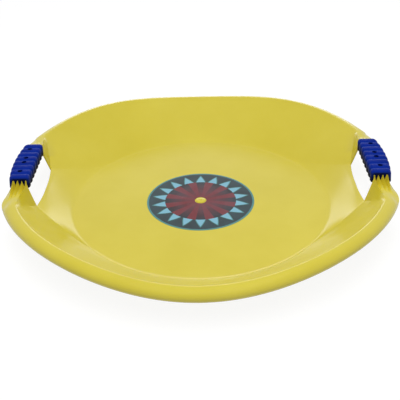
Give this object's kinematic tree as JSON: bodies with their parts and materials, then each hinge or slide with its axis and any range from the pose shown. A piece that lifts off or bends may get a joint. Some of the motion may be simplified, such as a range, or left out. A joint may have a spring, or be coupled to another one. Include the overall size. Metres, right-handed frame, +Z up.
{
  "type": "saucer sled",
  "caption": "Round moulded saucer sled with a flat floor, sloping wall, rolled rim, ribbed hand grips clipped over finned side bars, and a round centre label.",
  "frame": {"origin": "middle of the flat underside of the floor", "axes": "+Z up out of the dish, +X and -X towards the two hand grips, +Y across the dish away from the picture's viewer"},
  "size_m": [0.5702, 0.592, 0.0807],
  "materials": {
    "shell": "moulded yellow plastic, slightly glossy",
    "grip": "moulded blue plastic",
    "label": "printed plastic film"
  },
  "bodies": {
    "root": {"dish": "shell", "grip_left": "grip", "grip_right": "grip", "centre_label": "label"}
  },
  "joints": []
}
